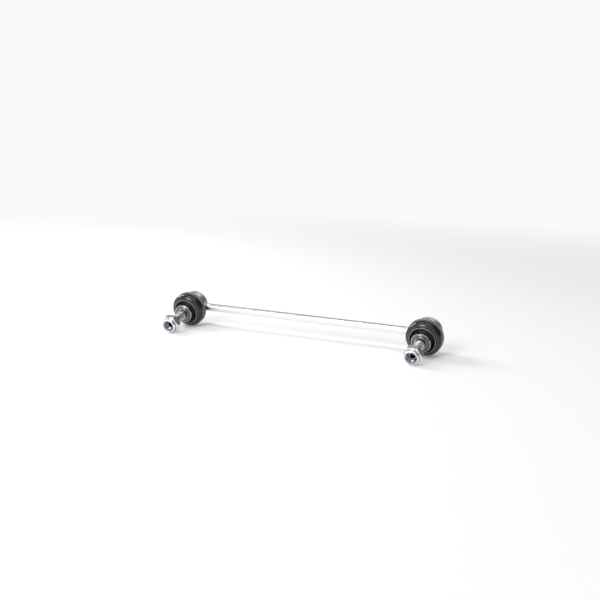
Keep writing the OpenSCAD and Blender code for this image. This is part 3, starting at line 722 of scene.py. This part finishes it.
# floor: pale matt sheet that keeps the shadows; camera, mirror and glass rays see it brighter by the glow,
# and from near to far it turns into the horizon's plain white
def makeFloor():
    s = stageSize
    half = s["half"]
    mesh = bpy.data.meshes.new("floor")
    corners = [(-half, -half, 0), (half, -half, 0), (half, half, 0), (-half, half, 0)]
    mesh.from_pydata(corners, [], [(0, 1, 2, 3)])
    floor = bpy.data.objects.new("floor", mesh)
    bpy.context.scene.collection.objects.link(floor)
    finish, tree, shader, place = newFinish("paleTable")
    cloud = addNode(tree, "TexNoise", {"Vector": place.outputs["Object"], "Scale": 2.0, "Detail": 2.0})
    tint = addNode(tree, "Mix", {0: cloud.outputs["Fac"], 6: (*s["floor"], 1), 7: (*s["haze"], 1)},
                   data_type="RGBA")
    tree.links.new(tint.outputs[2], shader.inputs["Base Color"])
    shader.inputs["Roughness"].default_value = s["rough"]
    shader.inputs["Specular IOR Level"].default_value = s["gloss"]
    path = addNode(tree, "LightPath").outputs
    straight = addNode(tree, "Math", {0: path["Is Camera Ray"], 1: path["Is Glossy Ray"]}, operation="ADD")
    seen = addNode(tree, "Math", {0: straight.outputs[0], 1: path["Is Transmission Ray"]}, operation="ADD",
                   use_clamp=True)
    glow = addNode(tree, "Math", {0: seen.outputs[0], 1: s["glow"]}, operation="MULTIPLY")
    shader.inputs["Emission Color"].default_value = (1, 1, 1, 1)
    tree.links.new(glow.outputs[0], shader.inputs["Emission Strength"])
    reach = addNode(tree, "VectorMath", {0: place.outputs["Object"]}, operation="LENGTH")
    far = addNode(tree, "MapRange", {
        "Value": reach.outputs["Value"], "From Min": s["near"], "From Max": s["far"]},
        interpolation_type="SMOOTHSTEP")
    white = addNode(tree, "Emission", {"Strength": skyLook["horizon"]})
    both = addNode(tree, "MixShader", {0: far.outputs[0], 1: shader.outputs[0], 2: white.outputs[0]})
    tree.links.new(both.outputs[0], tree.nodes["Material Output"].inputs["Surface"])
    mesh.materials.append(finish)


makeFloor()


# sky: level = back, with front towards the camera, roof overhead, horizon low down and side on the right;
# mirror and glass rays see the level, the camera the plain horizon, and all other rays the level times fill
def makeSky():
    world = bpy.data.worlds.new("studio")
    bpy.context.scene.world = world
    world.use_nodes = True
    tree = world.node_tree
    place = addNode(tree, "TexCoord").outputs["Generated"]

    # share = smooth step, from low to high, of the cosine between the ray and the named direction
    def facing(name):
        direction, low, high = skyLook[name]
        along = addNode(tree, "VectorMath", {0: place, 1: direction}, operation="DOT_PRODUCT")
        share = addNode(tree, "MapRange", {
            "Value": along.outputs["Value"], "From Min": low, "From Max": high},
            interpolation_type="SMOOTHSTEP")
        return share.outputs[0]

    # blend = first * (1 - share) + second * share
    def blend(share, first, second):
        return addNode(tree, "Mix", {0: share, 2: first, 3: second}, data_type="FLOAT").outputs[0]

    level = blend(facing("frontAt"), skyLook["back"], skyLook["front"])
    level = blend(facing("roofAt"), level, skyLook["roof"])
    level = blend(facing("aboveAt"), skyLook["horizon"], level)
    dark = addNode(tree, "Math", {0: facing("sideAt"), 1: facing("clearAt")}, operation="MULTIPLY")
    level = blend(dark.outputs[0], level, skyLook["side"])
    path = addNode(tree, "LightPath").outputs
    mirror = addNode(tree, "Math", {0: path["Is Glossy Ray"], 1: path["Is Transmission Ray"]},
                     operation="MAXIMUM")
    share = addNode(tree, "MapRange", {"Value": mirror.outputs[0], "To Min": skyLook["fill"], "To Max": 1.0})
    strength = addNode(tree, "Math", {0: level, 1: share.outputs[0]}, operation="MULTIPLY")
    strength = blend(path["Is Camera Ray"], strength.outputs[0], skyLook["horizon"])
    tree.links.new(strength, tree.nodes["Background"].inputs["Strength"])
    tree.nodes["Background"].inputs["Color"].default_value = (1, 1, 1, 1)


makeSky()

lampLook = {"key": {"place": (-0.45, -1.85, 1.2), "size": (0.9, 0.9), "power": 22.0},
            "strip": {"place": (0.0, -0.2, 1.25), "size": (1.6, 0.04), "power": 3.4},
            "left": {"place": (-1.2, 0.16, 0.8), "size": (0.5, 0.8), "power": 11.0}}


# lamp: a soft panel that faces the frame's origin, under the middle of the bar
def makeLamp(name, look):
    light = bpy.data.lights.new(name, "AREA")
    light.shape = "RECTANGLE"
    light.size, light.size_y = look["size"]
    light.energy = look["power"]
    lamp = bpy.data.objects.new(name, light)
    lamp.location = look["place"]
    lamp.visible_camera = False
    lamp.rotation_euler = (-lamp.location).to_track_quat("-Z", "Y").to_euler()
    bpy.context.scene.collection.objects.link(lamp)


for name, look in lampLook.items():
    makeLamp(name + "Panel", look)

cameraLook = {"place": (0.3502, -0.7765, 0.2169), "azimuth": 24.01, "elevation": 11.53, "roll": 1.21,
              "lens": 52.44, "sensor": 36.0}
camera = bpy.data.objects.new("camera", bpy.data.cameras.new("camera"))
camera.data.lens = cameraLook["lens"]
camera.data.sensor_width = cameraLook["sensor"]
camera.location = cameraLook["place"]
tilt, turn = math.radians(90 - cameraLook["elevation"]), math.radians(cameraLook["azimuth"])
level = Euler((tilt, 0, turn)).to_matrix()
camera.rotation_euler = (level @ Matrix.Rotation(math.radians(cameraLook["roll"]), 3, "Z")).to_euler()
bpy.context.scene.collection.objects.link(camera)
bpy.context.scene.camera = camera
bpy.context.scene.view_settings.view_transform = "Standard"
print("floor, light and camera set")
